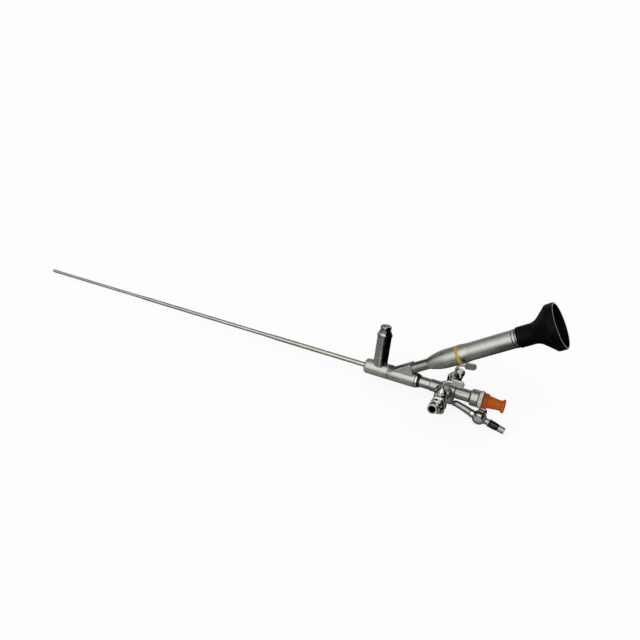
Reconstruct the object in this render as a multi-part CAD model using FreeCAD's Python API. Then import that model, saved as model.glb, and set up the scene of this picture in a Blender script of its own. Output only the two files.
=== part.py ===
import FreeCAD, Part
import math
import os

# A rigid ureterorenoscope, in millimetres.
# It is drawn along its shaft: x is 0 where the sheath enters the handle, negative towards
# the tip and positive towards the hands, and z points to the eyepiece side. At the end it
# is laid down as it comes to rest: on the tip, the valve outlet and the valve knob.

V = FreeCAD.Vector
ORIGIN = V(0, 0, 0)
X = V(1, 0, 0)
Y = V(0, 1, 0)
Z = V(0, 0, 1)

# Fits and edges
SEAT_GAP = 0.02          # radial gap between pieces that are fixed together
FACE_GAP = 0.05          # gap between end faces
PLUG_FIT = 0.05          # radial running gap of a tap plug
EDGE = 0.3               # small broken edge on turned steel
SOFT_EDGE = 0.8          # rounded edge on small caps
ROUND_MIDDLE = 1 - math.sqrt(0.5)    # where a quarter round's middle lies, as a share of its radius
OVERRUN = 1.0            # how far a cut runs out past a face

# Shaft: a sheath of 11, 9 and 7.5 French
WORKING_LENGTH = 320.0
SHEATH_ROOT_D = 3.7
SHEATH_MID_D = 3.1
SHEATH_TIP_D = 2.5
SHEATH_WALL = 0.15
SHEATH_ROOT_END = 75.5
SHEATH_MID_END = 208.0
SHEATH_CONE = 12.0
SHEATH_SEAT = 6.0
TIP_HEAD = 7.0
TIP_SWELL = 0.1
TIP_BEVEL = 36.0         # lean of the tip's face from square, in degrees
TIP_ROUND = 0.35
CHANNEL_BORE_D = 1.2
CHANNEL_WALL = 0.1
CHANNEL_DROP = 0.38
GUIDE_D = 0.5
GUIDE_RISE = 0.8
GUIDE_BEND = 30.0
LENS_LENGTH = 2.0
STRAND_D = 0.4
STRAND_OUT = 0.6
STRAND_BEND = 5.0

# Handle
HOUSING_D = 11.4
HOUSING_NOSE_D = 6.4
HOUSING_NOSE = 2.5
NOSE_CROWN = (0.3, 0.72)             # middle of its curve: shares of its length and of its rise
HOUSING_JOINT = 19.4
HOUSING_END = 40.5
HOUSING_CHAMBER_D = 6.6
CHAMBER_END = 26.5
REGISTER_D = 8.7
REGISTER_LENGTH = 2.6
WEDGE_WIDTH = 9.1
WEDGE_TOP = 4.24         # height of the wedge's ridge over the eyepiece axis
WEDGE_END = 16.6         # ridge end along the eyepiece axis
WEDGE_FOOT = 15.3        # where the wedge's rear face meets the housing, along the same axis
WEDGE_DEPTH = 4.7
WEDGE_ROUND = 1.1
COLLAR_D = 10.9
COLLAR_LENGTH = 1.8
BLACK_RING_D = 9.5
BLACK_RING_LENGTH = 1.6

# Light post
POST_FOOT_X = 11.5
POST_D = 10.6
POST_BORE_D = 4.9
POST_SPIGOT_D = 6.4
POST_SPIGOT_START = 3.8
POST_SPIGOT_END = 8.5
POST_LINE = 10.7
POST_TOP = 26.7
POST_NOSE_D = 6.4
POST_NOSE_END = 29.9
WIDE_ADAPTER_D = 11.4
WIDE_ADAPTER_NECK_D = 9.3
WIDE_ADAPTER_END = 31.0
NARROW_ADAPTER_D = 8.2
NARROW_ADAPTER_NECK_D = 7.5
NARROW_ADAPTER_BORE_D = 3.8
NARROW_ADAPTER_END = 34.8
NARROW_BEAD = 0.42       # share of its length where the wide end starts
LIGHT_WINDOW_D = 4.4
LIGHT_WINDOW_THICK = 0.7
FERRULE_START = 27.0

# Eyepiece, along its own leaning axis
EYE_FOOT_X = 23.4
EYE_ANGLE = 32.7
NECK_START = 13.2
NECK_D = 7.8
NECK_BORE_D = 5.5
CONE_START = 28.6
CONE_D = 13.7
CONE_FULL = 44.2
CONE_CROWN = (0.44, 0.69)            # middle of its curve, as for the nose
BAND_START = 52.0
BAND_WIDTH = 2.0
BAND_D = 13.9
BARREL_D = 12.9
BARREL_LAND = 0.9
BARREL_TAPER_END = 60.2
BARREL_END = 92.4
BARREL_BORE_D = 9.8
BAND_WALL = 0.8          # wall of the band on the barrel's spigot
BARREL_SPIGOT_LENGTH = 4.3
BARREL_TAIL_D = 11.0
BARREL_TAIL_END = 103.6
END_RING_START = 92.9
END_RING_WIDTH = 1.8
END_RING_D = 13.4
EYECUP_START = 95.7
EYECUP_NECK_D = 14.5
EYECUP_NECK_END = 104.0
EYECUP_D = 32.0
EYECUP_END = 124.2
EYECUP_WALL = 1.1
EYECUP_LIP_D = 9.9
EYECUP_THROAT = ((0.19, 1.06), (0.32, 1.24))                # shares of the flare and of the neck's radius
EYECUP_BOWL = ((0.66, 0.935), (0.7, 0.983), (0.75, 1.0))     # shares of the flare and of the rim's radius
EYECUP_INSIDE = ((0.68, 0.93), (0.61, 0.84))                # the same inside, of the mouth's radius
EYECUP_FLOOR = (0.12, 1.2)
WINDOW_THICK = 2.5
LENS_EDGE = 1.2
LENS_CROWN = 0.9
EYE_LENS_BACK = 4.0      # from the barrel's end to the eye lens
LENS_SPACING = 13.0
SPACER_WALL = 1.0
DOT_AT = 56.2
DOT_D = 2.5
DOT_ANGLE = 28.9
DOT_SINK = 6.0
DOT_TOP = 6.85

# Adapter at the rear of the handle
ADAPTER_FRONT_D = 8.1
ADAPTER_D = 8.9
ADAPTER_STEP = 51.8
ADAPTER_END = 70.2
ADAPTER_SPIGOT_D = 5.7
ADAPTER_SPIGOT_LENGTH = 10.3
ADAPTER_TAIL_D = 6.6
ADAPTER_TAIL_LENGTH = 6.6
ADAPTER_BORE_D = 2.9
CHANNEL_TUBE_END = 46.0
SLEEVE_START = 70.6
SLEEVE_END = 81.2
SLEEVE_THREAD_D = 7.6
SLEEVE_THREAD_END = 86.4
NUT_START = 81.5
NUT_END = 87.7
NUT_D = 12.3
FLANGE_END = 90.5
FLANGE_D = 13.0
FLANGE_TEETH = 40
FLANGE_TOOTH = 0.22
NIPPLE_D = 6.2
NIPPLE_BEAD_D = 6.8
NIPPLE_LENGTH = 3.0
NIPPLE_BEAD_START = 1.5  # from the nipple's end
NIPPLE_BEAD_FULL = 1.2
NIPPLE_BEAD_END = 0.5
SEAL_HOLE_D = 1.2
CAP_LENGTH = 15.4
CAP_BASE_D = 11.2
CAP_WAIST_D = 7.6
CAP_END_D = 9.8
CAP_MOUTH_D = 7.0
CAP_HOLE_D = 1.2
CAP_SHOULDER = (0.11, 0.14, 0.2)     # shares of the cap's length
CAP_SHOULDER_R = (0.965, 0.86)       # shares of its base radius
CAP_WAIST = (0.36, 0.56, 0.78)
CAP_WAIST_R = (1.06, 1.05)           # shares of its waist radius
CAP_FUNNEL = (0.84, 0.66)
CAP_FUNNEL_R = 0.74
CAP_ROOM = 0.24
CAP_ROOM_R = 0.75

# Side taps, on an axis across the adapter
ARM_X = 64.2
SADDLE_FRONT = 9.1      # reach of the flared root towards the tip
SADDLE_BACK = 5.2        # and towards the hands
SADDLE_HEIGHT = 8.4
SADDLE_START = 2.5
ARM_START = 9.6
ARM_D = 7.9
ARM_END = 23.3
ARM_BORE_D = 2.3
PLUG_REACH = 17.0
BARREL_TAP_D = 10.0
TAP_TOP = 5.0
TAP_BOTTOM = -6.8
PLUG_D = 5.0             # at the middle of the tap
PLUG_TAPER = 0.03        # growth of its radius along its height
PLUG_BORE_D = 1.9
HUB_D = 7.5
HUB_NECK_D = 3.3
HUB_RIM = 0.6
HUB_HEIGHT = 2.8
CAP_D = 8.4
CAP_HEIGHT = 3.9
LUER_D = 7.2
LUER_BASE_D = 8.5
LUER_END = 37.5
LUER_BORE_D = 4.3
LUER_DEPTH = 8.0
LUER_CONE = 1.0          # length of the cone at its floor
LUER_STEPS = (0.19, 0.22, 0.27, 0.3, 0.57, 0.6, 0.65, 0.68)  # shares of its length where it steps
WIRE_D = 1.8
LEVER_RISE = 13.6
LEVER_TOP = 14.2
PADDLE_START = 5.8
PADDLE_END = 14.2
PADDLE_ROOT = 5.4
PADDLE_TIP = 4.9
PADDLE_THICK = 1.9
PADDLE_CORNER = 1.0
PADDLE_CROWN = 1.7       # how far its round end stands out
PADDLE_EDGE = 0.45
LEVER_BEND = 4.4
LEVER_SOCKET = 1.3
RIGHT_LEVER_TURN = 15.0  # the right lever stands this far from straight back

# Lower branch with its valve
BOSS_X = 67.6
BOSS_D = 5.2
BRANCH_DROP = 8.0        # how far the branch starts below the bore
BRANCH_SLOPE = 13.8
BRANCH_D = 4.3
BRANCH_SPIGOT_D = 2.9
BRANCH_BORE_D = 1.9
VALVE_REACH = 23.3      # from the boss to the valve's centre
VALVE_D = 10.4
VALVE_HALF = 4.3
VALVE_SOCKET_D = 5.9
VALVE_SOCKET = 6.8
BRANCH_SEAT = 2.0
VALVE_PLUG_D = 4.5
VALVE_CAP_D = 5.7
VALVE_CAP_RECESS = 0.8
VALVE_STEM_D = 3.1
KNOB_START = 7.2
KNOB_LENGTH = 5.0
KNOB_D = 6.3
KNOB_SEAT = 1.0
OUTLET_NECK_D = 4.7
OUTLET_NECK_END = 7.3
OUTLET_NECK_SINK = 0.7   # share of the valve's radius where the neck starts
OUTLET_SPIGOT_D = 3.1
OUTLET_BARREL_D = 5.9
OUTLET_BARREL_END = 14.9
OUTLET_TIP_D = 4.8
OUTLET_END = 19.4

SETTLE_ROUNDS = 20

# Directions and frames that the pieces share
BARREL_SPIGOT_D = BAND_D - 2 * BAND_WALL
CHANNEL_D = CHANNEL_BORE_D + 2 * CHANNEL_WALL
TIP_HEAD_R = SHEATH_TIP_D / 2 + TIP_SWELL
TIP_FACE_BACK = 2 * TIP_HEAD_R * math.tan(math.radians(TIP_BEVEL))
COLLAR_END = HOUSING_END + COLLAR_LENGTH
ADAPTER_START = COLLAR_END + BLACK_RING_LENGTH


def direction(degrees):
    """Direction in the plane of symmetry, this far up from +x."""
    turn = math.radians(degrees)
    return V(math.cos(turn), 0, math.sin(turn))


def frame(origin, x_axis, z_hint):
    """Local frame: x along x_axis, z as near z_hint as it can be."""
    y_axis = z_hint.cross(x_axis).normalize()
    z_axis = x_axis.cross(y_axis)
    return FreeCAD.Placement(origin, FreeCAD.Rotation(x_axis, y_axis, z_axis, "XZY"))


def placed(shape, place):
    moved = shape.copy()
    moved.Placement = place.multiply(moved.Placement)
    return moved


def lathe(steps):
    """Solid turned about x from (x, r) steps; a step of four numbers is an arc by its middle."""
    first = V(steps[0][0], 0, steps[0][1])
    here = first
    edges = []
    for step in steps[1:]:
        there = V(step[-2], 0, step[-1])
        if len(step) == 4:
            edges.append(Part.Arc(here, V(step[0], 0, step[1]), there).toShape())
        else:
            edges.append(Part.makeLine(here, there))
        here = there
    edges.append(Part.makeLine(here, first))
    solid = Part.Face(Part.Wire(edges)).revolve(ORIGIN, X, 360)
    if solid.Volume < 0:
        solid.reverse()
    return solid


def crown(shares, start, start_r, end, end_r):
    """Middle point of a curve between two steps."""
    return (start + (end - start) * shares[0], start_r + (end_r - start_r) * shares[1])


def round_off(x, r, size, way):
    """Quarter round that leaves radius r size before x and ends on the face at x; way is 1 or -1."""
    return [
        (x - way * size, r),
        (x - way * size * ROUND_MIDDLE, r - size * ROUND_MIDDLE, x, r - size),
    ]


def ring(start, end, inner_r, outer_r, edge=EDGE):
    """Plain ring about x with its two outer edges broken."""
    return lathe([
        (start, inner_r), (start, outer_r - edge), (start + edge, outer_r),
        (end - edge, outer_r), (end, outer_r - edge), (end, inner_r),
    ])


def rod(radius, start, end, y=0.0, z=0.0):
    """Cylinder along x."""
    return Part.makeCylinder(radius, end - start, V(start, y, z), X)


def bent_rod(radius, start, corner, end, bend):
    """Round rod with one tangent bend at corner."""
    before = (corner - start).normalize()
    after = (end - corner).normalize()
    turn = before.getAngle(after)
    reach = bend * math.tan(turn / 2)
    bend_start = corner - before * reach
    bend_end = corner + after * reach
    inward = (after - before).normalize()
    centre = corner + inward * (bend / math.cos(turn / 2))
    middle = centre - inward * bend
    path = Part.Wire([
        Part.makeLine(start, bend_start),
        Part.Arc(bend_start, middle, bend_end).toShape(),
        Part.makeLine(bend_end, end),
    ])
    section = Part.Wire(Part.makeCircle(radius, start, before))
    return path.makePipeShell([section], True, True)


EYE = frame(V(EYE_FOOT_X, 0, 0), direction(EYE_ANGLE), Z)
POST = frame(V(POST_FOOT_X, 0, 0), Z, X)
HOUSING_SPACE = rod(HOUSING_D / 2 + SEAT_GAP, -HOUSING_END, 2 * HOUSING_END)


def arm_frame(side):
    """Frame of a side tap: x out along the arm, z along the plug. Side is -1 left, 1 right."""
    return frame(V(ARM_X, 0, 0), Y * side, Z)


BRANCH_START = V(BOSS_X, 0, -BRANCH_DROP)
BRANCH = frame(BRANCH_START, direction(-BRANCH_SLOPE), Y)
VALVE = frame(BRANCH.multVec(V(VALVE_REACH, 0, 0)), direction(-BRANCH_SLOPE), Y)

# The plug of a tap stands on this frame inside the tap's own frame
PLUG_AXIS = frame(V(PLUG_REACH, 0, 0), Z, X * -1)
VALVE_AXIS = frame(ORIGIN, Z, Y)

pieces = {}


def build_shaft():
    outer = [
        (SHEATH_SEAT, SHEATH_ROOT_D / 2),
        (-SHEATH_ROOT_END, SHEATH_ROOT_D / 2),
        (-SHEATH_ROOT_END - SHEATH_CONE, SHEATH_MID_D / 2),
        (-SHEATH_MID_END, SHEATH_MID_D / 2),
        (-SHEATH_MID_END - SHEATH_CONE, SHEATH_TIP_D / 2),
        (-WORKING_LENGTH + TIP_HEAD, SHEATH_TIP_D / 2),
    ]
    inner = [(x, r - SHEATH_WALL) for x, r in reversed(outer)]
    pieces["outer_sheath"] = lathe(outer + inner)

    # The face at the tip leans so that its upper lip is the longest
    lip = V(-WORKING_LENGTH, 0, TIP_HEAD_R)
    face_back = V(-math.cos(math.radians(TIP_BEVEL)), 0, -math.sin(math.radians(TIP_BEVEL)))
    reach = 4 * TIP_HEAD_R + TIP_FACE_BACK
    beyond = placed(Part.makeBox(reach, 2 * reach, 2 * reach, V(0, -reach, -reach)), frame(lip, face_back, Z))

    head = lathe([
        (-WORKING_LENGTH, 0), (-WORKING_LENGTH, TIP_HEAD_R),
        (-WORKING_LENGTH + TIP_HEAD - TIP_SWELL, TIP_HEAD_R),
        (-WORKING_LENGTH + TIP_HEAD, SHEATH_TIP_D / 2), (-WORKING_LENGTH + TIP_HEAD, 0),
    ]).cut(beyond)
    rim = [edge for edge in head.Edges if edge.BoundBox.XMin < -WORKING_LENGTH + EDGE]
    head = head.makeFillet(TIP_ROUND, rim)

    root = -WORKING_LENGTH - TIP_HEAD
    tube = rod(CHANNEL_D / 2, root, CHANNEL_TUBE_END, z=-CHANNEL_DROP)
    tube = tube.cut(rod(CHANNEL_BORE_D / 2, root, CHANNEL_TUBE_END, z=-CHANNEL_DROP))
    pieces["channel_tube"] = tube.cut(beyond)

    lens_back = -WORKING_LENGTH + TIP_FACE_BACK + LENS_LENGTH
    pieces["objective_lens"] = rod(GUIDE_D / 2, root, lens_back, z=GUIDE_RISE).cut(beyond)
    eye_end = EYE.multVec(V(CONE_START + LENS_LENGTH, 0, 0))
    corner = V(EYE_FOOT_X + GUIDE_RISE / math.tan(math.radians(EYE_ANGLE)), 0, GUIDE_RISE)
    pieces["image_guide"] = bent_rod(GUIDE_D / 2, V(lens_back + FACE_GAP, 0, GUIDE_RISE), corner, eye_end, GUIDE_BEND)

    window_seat = NARROW_ADAPTER_END - 2 * LIGHT_WINDOW_THICK
    for name, y in (("light_strand_left", -STRAND_OUT), ("light_strand_right", STRAND_OUT)):
        corner = V(POST_FOOT_X, y, STRAND_OUT)
        end = V(POST_FOOT_X, y, window_seat - FACE_GAP)
        strand = bent_rod(STRAND_D / 2, V(root, y, STRAND_OUT), corner, end, STRAND_BEND)
        pieces[name] = strand.cut(beyond)

    head = head.cut(rod(CHANNEL_D / 2 + SEAT_GAP, root, 0, z=-CHANNEL_DROP))
    head = head.cut(rod(GUIDE_D / 2 + SEAT_GAP, root, 0, z=GUIDE_RISE))
    for y in (-STRAND_OUT, STRAND_OUT):
        head = head.cut(rod(STRAND_D / 2 + SEAT_GAP, root, 0, y, STRAND_OUT))
    pieces["distal_tip"] = head


def build_handle():
    chamber_r = HOUSING_CHAMBER_D / 2
    outer_r = HOUSING_D / 2
    nose_r = HOUSING_NOSE_D / 2
    seat_r = SHEATH_ROOT_D / 2 + SEAT_GAP
    register_start = HOUSING_JOINT - REGISTER_LENGTH
    nose_mid = crown(NOSE_CROWN, 0, nose_r, HOUSING_NOSE, outer_r)

    front = lathe([
        (0, seat_r), (0, nose_r), nose_mid + (HOUSING_NOSE, outer_r),
        (HOUSING_JOINT - EDGE, outer_r), (HOUSING_JOINT - FACE_GAP, outer_r - EDGE),
        (HOUSING_JOINT - FACE_GAP, REGISTER_D / 2 + SEAT_GAP), (register_start, REGISTER_D / 2 + SEAT_GAP),
        (register_start, chamber_r), (SHEATH_SEAT, chamber_r), (SHEATH_SEAT, seat_r),
    ])
    post_hole = placed(rod(POST_SPIGOT_D / 2 + SEAT_GAP, 0, 2 * outer_r), POST)
    pieces["front_housing"] = front.cut(post_hole)

    rear = lathe([
        (register_start + FACE_GAP, 0), (register_start + FACE_GAP, REGISTER_D / 2),
        (HOUSING_JOINT, REGISTER_D / 2), (HOUSING_JOINT, outer_r - EDGE), (HOUSING_JOINT + EDGE, outer_r),
        (HOUSING_END - EDGE, outer_r), (HOUSING_END, outer_r - EDGE), (HOUSING_END, 0),
    ])
    side = [V(0, 0, -WEDGE_DEPTH), V(WEDGE_FOOT, 0, -WEDGE_DEPTH), V(WEDGE_END, 0, WEDGE_TOP), V(0, 0, WEDGE_TOP)]
    wedge = Part.Face(Part.makePolygon(side + side[:1])).extrude(V(0, WEDGE_WIDTH, 0))
    wedge.translate(V(0, -WEDGE_WIDTH / 2, 0))
    ridge = [edge for edge in wedge.Edges if edge.BoundBox.ZMin > WEDGE_TOP - EDGE and edge.BoundBox.YLength < EDGE]
    wedge = wedge.makeFillet(WEDGE_ROUND, ridge)
    inside_nose = rod(WEDGE_WIDTH, -HOUSING_END, HOUSING_JOINT + EDGE)
    wedge = placed(wedge, EYE).cut(inside_nose)
    rear = rear.fuse(wedge).removeSplitter()
    spigot_start = ADAPTER_START - ADAPTER_SPIGOT_LENGTH - FACE_GAP
    rear = rear.cut(rod(chamber_r, 0, CHAMBER_END))
    rear = rear.cut(rod(CHANNEL_D / 2 + SEAT_GAP, 0, HOUSING_END, z=-CHANNEL_DROP))
    rear = rear.cut(rod(ADAPTER_SPIGOT_D / 2 + SEAT_GAP, spigot_start, HOUSING_END + OVERRUN))
    rear = rear.cut(placed(rod(NECK_D / 2 + SEAT_GAP, NECK_START - FACE_GAP, 2 * WEDGE_END), EYE))
    rear = rear.cut(placed(rod(3 * GUIDE_D, 0, NECK_START), EYE))
    pieces["rear_housing"] = rear

    bore_r = ADAPTER_SPIGOT_D / 2 + SEAT_GAP
    pieces["collar_ring"] = ring(HOUSING_END, COLLAR_END - FACE_GAP, bore_r, COLLAR_D / 2)
    pieces["black_ring"] = ring(COLLAR_END, ADAPTER_START - FACE_GAP, bore_r, BLACK_RING_D / 2)


def build_light_post():
    bore_r = POST_BORE_D / 2
    post_r = POST_D / 2
    nose_r = POST_NOSE_D / 2
    foot = lathe([
        (POST_SPIGOT_START, bore_r), (POST_SPIGOT_START, post_r),
        (POST_LINE, post_r), (POST_LINE + EDGE / 2, post_r - EDGE / 2), (POST_LINE + EDGE, post_r),
        (POST_TOP - EDGE, post_r), (POST_TOP, post_r - EDGE), (POST_TOP, nose_r),
        (POST_NOSE_END, nose_r), (POST_NOSE_END, bore_r),
    ])
    foot = placed(foot, POST).cut(HOUSING_SPACE)
    spigot = placed(rod(POST_SPIGOT_D / 2, POST_SPIGOT_START, POST_SPIGOT_END), POST)
    spigot = spigot.cut(placed(rod(bore_r, 0, POST_SPIGOT_END), POST))
    pieces["light_post"] = foot.fuse(spigot).removeSplitter()

    wide_r = WIDE_ADAPTER_D / 2
    neck_r = WIDE_ADAPTER_NECK_D / 2
    thread_r = nose_r + SEAT_GAP
    rim_end = POST_TOP + COLLAR_LENGTH
    wide = lathe([
        (POST_TOP + FACE_GAP, thread_r), (POST_TOP + FACE_GAP, wide_r - EDGE), (POST_TOP + EDGE, wide_r),
        (rim_end - EDGE, wide_r), (rim_end, wide_r - EDGE), (POST_NOSE_END, neck_r),
        (WIDE_ADAPTER_END - EDGE, neck_r), (WIDE_ADAPTER_END, neck_r - EDGE), (WIDE_ADAPTER_END, thread_r),
    ])
    pieces["wide_adapter"] = placed(wide, POST)

    bead_r = NARROW_ADAPTER_D / 2
    groove_r = NARROW_ADAPTER_NECK_D / 2
    small_r = NARROW_ADAPTER_BORE_D / 2
    window_r = LIGHT_WINDOW_D / 2 + SEAT_GAP
    start = WIDE_ADAPTER_END + FACE_GAP
    window_seat = NARROW_ADAPTER_END - 2 * LIGHT_WINDOW_THICK
    bead_start = start + (NARROW_ADAPTER_END - start) * NARROW_BEAD
    narrow = lathe([
        (start, small_r), (start, bead_r), (start + EDGE, groove_r), (bead_start, groove_r),
        (bead_start + EDGE, bead_r),
    ] + round_off(NARROW_ADAPTER_END, bead_r, SOFT_EDGE, 1) + [
        (NARROW_ADAPTER_END, window_r), (window_seat, window_r), (window_seat, small_r),
    ])
    pieces["narrow_adapter"] = placed(narrow, POST)
    window = rod(LIGHT_WINDOW_D / 2, window_seat + FACE_GAP, window_seat + FACE_GAP + LIGHT_WINDOW_THICK)
    pieces["light_window"] = placed(window, POST)

    wide_part_r = bore_r - SEAT_GAP
    thin_part_r = small_r - SEAT_GAP
    ferrule = lathe([
        (FERRULE_START, 0), (FERRULE_START, wide_part_r), (POST_NOSE_END, wide_part_r),
        (POST_NOSE_END, thin_part_r), (window_seat, thin_part_r), (window_seat, 0),
    ])
    ferrule = placed(ferrule, POST)
    for y in (-STRAND_OUT, STRAND_OUT):
        ferrule = ferrule.cut(placed(rod(STRAND_D / 2 + SEAT_GAP, 0, NARROW_ADAPTER_END, y=-y), POST))
    pieces["fibre_ferrule"] = ferrule


def build_eyepiece():
    neck_r = NECK_D / 2
    neck_bore = NECK_BORE_D / 2
    pieces["neck_tube"] = placed(lathe([
        (NECK_START, neck_bore), (NECK_START, neck_r), (CONE_START - FACE_GAP, neck_r),
        (CONE_START - FACE_GAP, neck_bore),
    ]), EYE)

    cone_r = CONE_D / 2
    spigot_r = BARREL_SPIGOT_D / 2 + SEAT_GAP
    spigot_start = BAND_START - BARREL_SPIGOT_LENGTH
    cone_mid = crown(CONE_CROWN, CONE_START, neck_r, CONE_FULL, cone_r)
    hollow_r = BARREL_BORE_D / 2
    pieces["eyepiece_cone"] = placed(lathe([
        (CONE_START, neck_bore), (CONE_START, neck_r + SEAT_GAP), cone_mid + (CONE_FULL, cone_r),
        (BAND_START - FACE_GAP, cone_r), (BAND_START - FACE_GAP, spigot_r), (spigot_start, spigot_r),
        (spigot_start, hollow_r), (CONE_FULL, hollow_r), (CONE_START + LENS_LENGTH * 2, neck_bore),
    ]), EYE)

    band_end = BAND_START + BAND_WIDTH
    band_r = BAND_D / 2
    pieces["size_band"] = placed(lathe([
        (BAND_START, spigot_r), (BAND_START, band_r), (band_end - FACE_GAP, band_r), (band_end - FACE_GAP, spigot_r),
    ]), EYE)

    barrel_r = BARREL_D / 2
    tail_r = BARREL_TAIL_D / 2
    barrel = lathe([
        (spigot_start + FACE_GAP, hollow_r), (spigot_start + FACE_GAP, BARREL_SPIGOT_D / 2),
        (band_end, BARREL_SPIGOT_D / 2), (band_end, band_r), (band_end + BARREL_LAND, band_r),
        (BARREL_TAPER_END, barrel_r), (BARREL_END - EDGE, barrel_r), (BARREL_END, barrel_r - EDGE),
        (BARREL_END, tail_r), (BARREL_TAIL_END, tail_r), (BARREL_TAIL_END, hollow_r),
    ])
    turn = math.radians(DOT_ANGLE)
    dot_axis = frame(V(DOT_AT, 0, 0), V(0, -math.cos(turn), -math.sin(turn)), X)
    pieces["index_dot"] = placed(placed(rod(DOT_D / 2, DOT_SINK, DOT_TOP), dot_axis), EYE)
    dot_hole = placed(rod(DOT_D / 2 + SEAT_GAP, DOT_SINK - SEAT_GAP, 2 * band_r), dot_axis)
    pieces["eyepiece_barrel"] = placed(barrel.cut(dot_hole), EYE)

    ring_end = END_RING_START + END_RING_WIDTH
    pieces["end_ring"] = placed(ring(END_RING_START, ring_end, tail_r + SEAT_GAP, END_RING_D / 2), EYE)

    build_eyecup(tail_r)
    build_lenses(hollow_r, neck_bore)


def build_eyecup(tail_r):
    """Funnel that the eye rests on, with its window on the barrel's end."""
    seat_r = tail_r + SEAT_GAP
    neck_r = EYECUP_NECK_D / 2
    rim_r = EYECUP_D / 2
    lip_r = EYECUP_LIP_D / 2
    flare = EYECUP_END - EYECUP_NECK_END
    window_end = BARREL_TAIL_END + WINDOW_THICK + 2 * FACE_GAP
    mouth_r = rim_r - EYECUP_WALL
    throat_mid, throat_end = [(EYECUP_NECK_END + flare * a, neck_r * b) for a, b in EYECUP_THROAT]
    bowl_start, bowl_mid, shoulder = [(EYECUP_NECK_END + flare * a, rim_r * b) for a, b in EYECUP_BOWL]
    inside_mid, inside_end = [(EYECUP_NECK_END + flare * a, mouth_r * b) for a, b in EYECUP_INSIDE]
    cup = lathe([
        (EYECUP_START, seat_r), (EYECUP_START, neck_r - EDGE), (EYECUP_START + EDGE, neck_r),
        (EYECUP_NECK_END, neck_r), throat_mid + throat_end, bowl_start, bowl_mid + shoulder,
    ] + round_off(EYECUP_END, rim_r, SOFT_EDGE, 1) + [
        (EYECUP_END, mouth_r), (shoulder[0], mouth_r - EDGE), inside_mid + inside_end,
        (window_end + flare * EYECUP_FLOOR[0], lip_r * EYECUP_FLOOR[1]), (window_end + SOFT_EDGE, lip_r),
        (window_end, lip_r), (window_end, seat_r),
    ])
    pieces["eyecup"] = placed(cup, EYE)
    start = BARREL_TAIL_END + FACE_GAP
    pieces["ocular_window"] = placed(rod(tail_r, start, start + WINDOW_THICK), EYE)


def build_lenses(hollow_r, neck_bore):
    """Two lenses with a spacer between them, and the bush that ends the image guide."""
    lens_r = hollow_r - SEAT_GAP
    half = LENS_EDGE + LENS_CROWN
    bend = (lens_r ** 2 + LENS_CROWN ** 2) / (2 * LENS_CROWN)
    eye_lens_at = BARREL_TAIL_END - EYE_LENS_BACK
    field_lens_at = eye_lens_at - LENS_SPACING

    def lens(at):
        front = Part.makeSphere(bend, V(at - half + bend, 0, 0))
        back = Part.makeSphere(bend, V(at + half - bend, 0, 0))
        return placed(rod(lens_r, at - half, at + half).common(front).common(back), EYE)

    pieces["eye_lens"] = lens(eye_lens_at)
    pieces["field_lens"] = lens(field_lens_at)
    gap = LENS_EDGE + LENS_CROWN / 2
    spacer = rod(lens_r, field_lens_at + gap, eye_lens_at - gap)
    spacer = spacer.cut(rod(lens_r - SPACER_WALL, field_lens_at, eye_lens_at))
    pieces["lens_spacer"] = placed(spacer, EYE)

    hole_r = GUIDE_D / 2 + SEAT_GAP
    bush_r = neck_bore - SEAT_GAP
    bush_start = CONE_START - 3 * LENS_LENGTH
    pieces["guide_ferrule"] = placed(lathe([
        (bush_start, hole_r), (bush_start, bush_r), (CONE_START - LENS_LENGTH, bush_r), (CONE_START, bush_r / 2),
        (CONE_START + LENS_LENGTH, bush_r / 2), (CONE_START + LENS_LENGTH, hole_r),
    ]), EYE)


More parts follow.
